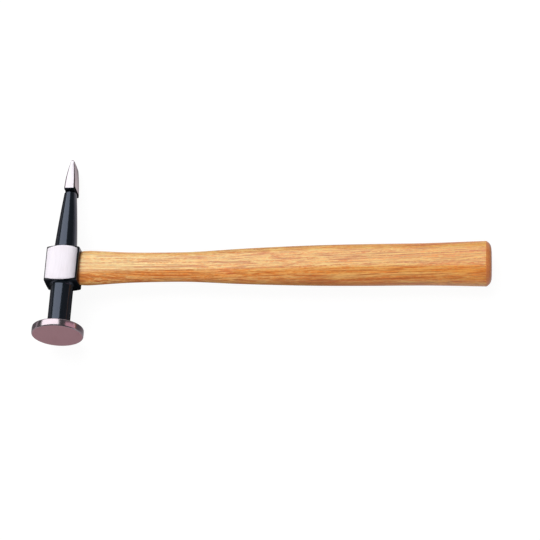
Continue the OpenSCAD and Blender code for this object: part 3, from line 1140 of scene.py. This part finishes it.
def table_finish():
    look = Look("white_table")
    camera_ray = look.node("ShaderNodeLightPath", {}, {}, "Is Camera Ray")
    outputs = camera_ray.socket.node.outputs
    mirrored = Wire(look, outputs["Is Glossy Ray"]) + Wire(look, outputs["Is Transmission Ray"])
    # Evenly white to the camera; to mirrors, the painted light and shade
    seen = camera_ray + mirrored * painted_mirror_light(look)
    paper = look.mix(look.noise(look.place(), 0.02, 2.0), PAPER_DARK, PAPER_LIGHT)
    glow = look.mix(mirrored, WHITE, PAINTED_GLOW_TINT)
    look.surface(Base_Color=look.mix(mirrored, paper, PAPER_UNDER_PAINTED_GLOW), Roughness=0.9,
                 Specular_IOR_Level=0.1, Emission_Strength=0.92,
                 Emission_Color=look.mix(seen, BLACK, glow))
    return look.material


white_table = table_finish()
print("made", white_table.name)

# %% [markdown]
# ## Setting the table under the hammer
# The grid starts level, and its corners are lifted to the plane through the three points that
# the hammer rests on. It is so wide that its rim is never seen.

# %% Lay the table
TABLE_SIZE = 12000.0
# The plane rises by this much per millimetre along X and Y, and lies this far under the axis
RISE_X, RISE_Y, DROP_Y, DROP = 0.01327, 0.07879, 59.2, 16.28


def table_height(x, y):
    """Height of the table under a point, both in millimetres."""
    return RISE_X * x + RISE_Y * (y - DROP_Y) - DROP


def make_table():
    bm = bmesh.new()
    bmesh.ops.create_grid(bm, x_segments=1, y_segments=1, size=TABLE_SIZE)
    for vert in bm.verts:
        vert.co.z = table_height(vert.co.x, vert.co.y)
    table = mesh_object(bm, "table", [white_table])


make_table()
print("table", round(-table_height(0.0, EYE_Y), 2), "mm under the eye")

# %% [markdown]
# ## Lamps
# The highlights tell where the light stood: a wide soft box, up and to the left, which the
# cheek, the flat of the handle and the arm all mirror. A lamp's brightness is given as what a
# mirror would show of it, so its energy follows from its size. A lamp can be hidden from
# reflections, or from everything but reflections, as a photographer does with flags.

# %% Ways to set a lamp
def facing(middle, way, upright):
    """Stands a lamp at middle so that it shines against way."""
    back = Vector(way).normalized()
    across = Vector(upright).cross(back).normalized()
    return standing(across, back.cross(across), back, middle)


def add_lamp(name, place, size, brightness, in_gloss=True):
    """An area lamp; brightness is what a mirror would show of it."""
    lamp = bpy.data.lights.new(name, "AREA")
    lamp.shape = "RECTANGLE"
    lamp.size, lamp.size_y = size
    lamp.energy = brightness * math.pi * size[0] * size[1]
    made = bpy.data.objects.new(name, lamp)
    made.matrix_world = place
    made.visible_camera = False
    made.visible_glossy = in_gloss
    bpy.context.scene.collection.objects.link(made)
    return made


def add_soft_box(height, x_slopes, y_slopes, lean, brightness, in_gloss=True):
    """A level panel over the head; slopes are sideways reach over height, seen from the head."""
    middle = Vector((sum(x_slopes) / 2 * height, EYE_Y * MM + sum(y_slopes) / 2 * height, height))
    size = [(s[1] - s[0]) * height for s in (x_slopes, y_slopes)]
    place = Matrix.Translation(middle) @ Matrix.Rotation(math.radians(lean), 4, "Z")
    add_lamp("soft_box", place, size, brightness, in_gloss)


def add_fill(way, reach, size, brightness):
    """A dim panel that looks back at the middle of the handle."""
    middle = Vector((150.0, EYE_Y, 0.0)) * MM + Vector(way).normalized() * reach
    add_lamp("fill", facing(middle, way, (0.0, 0.0, 1.0)), size, brightness, in_gloss=False)


def add_card(middle, way, size, brightness, colour):
    """A small card near the disc, for its rim to mirror; it lights nothing else."""
    card = add_lamp("card", facing(Vector(middle) * MM, way, (0.0, 1.0, 0.0)), size, brightness)
    card.data.color = colour
    card.visible_diffuse = False


print("lamps can be set")

# %% [markdown]
# ## Light
# The soft box is there twice: once for everything, and once for dull surfaces only, because
# the wood needs more light than the bright steel can mirror without burning out. A dim panel
# in front fills the handle's lower side. A small pinkish card beside the disc gives the rim
# its one bright streak.

# %% Set the lamps
SOFT_BOX = {"height": 2.5, "x_slopes": (-2.0, 0.17), "y_slopes": (0.05, 1.88), "lean": 8.0}

add_soft_box(**SOFT_BOX, brightness=2.2)
add_soft_box(**SOFT_BOX, brightness=1.45, in_gloss=False)
add_fill(way=(0.1, -0.85, 0.5), reach=1.6, size=(2.8, 1.5), brightness=1.27)
add_card(middle=(118.0, 38.0, 58.0), way=(0.86, 0.30, 0.42), size=(0.105, 0.045), brightness=0.80,
         colour=(1.0, 0.55, 0.64))

# %% [markdown]
# ## Sky
# A dim, even sky fills the shadows. A brighter strip low down behind the hammer gives the
# steel something to mirror when it is seen from other sides.

# %% Add the sky
def add_sky(brightness, strip):
    look = Look("sky", world=True)
    bpy.context.scene.world = look.material
    _, y, z = look.axes(look.node("ShaderNodeTexCoord", {}, {}, "Generated"))
    behind = y.ramp(0.60, 0.72) * (1 - z.ramp(0.25, 0.50))
    look.surface(Color=(*WHITE, 1.0), Strength=behind * (strip - brightness) + brightness)
    return look.material


print("made", add_sky(brightness=0.10, strip=0.6).name)
bpy.context.scene.view_settings.view_transform = "Standard"
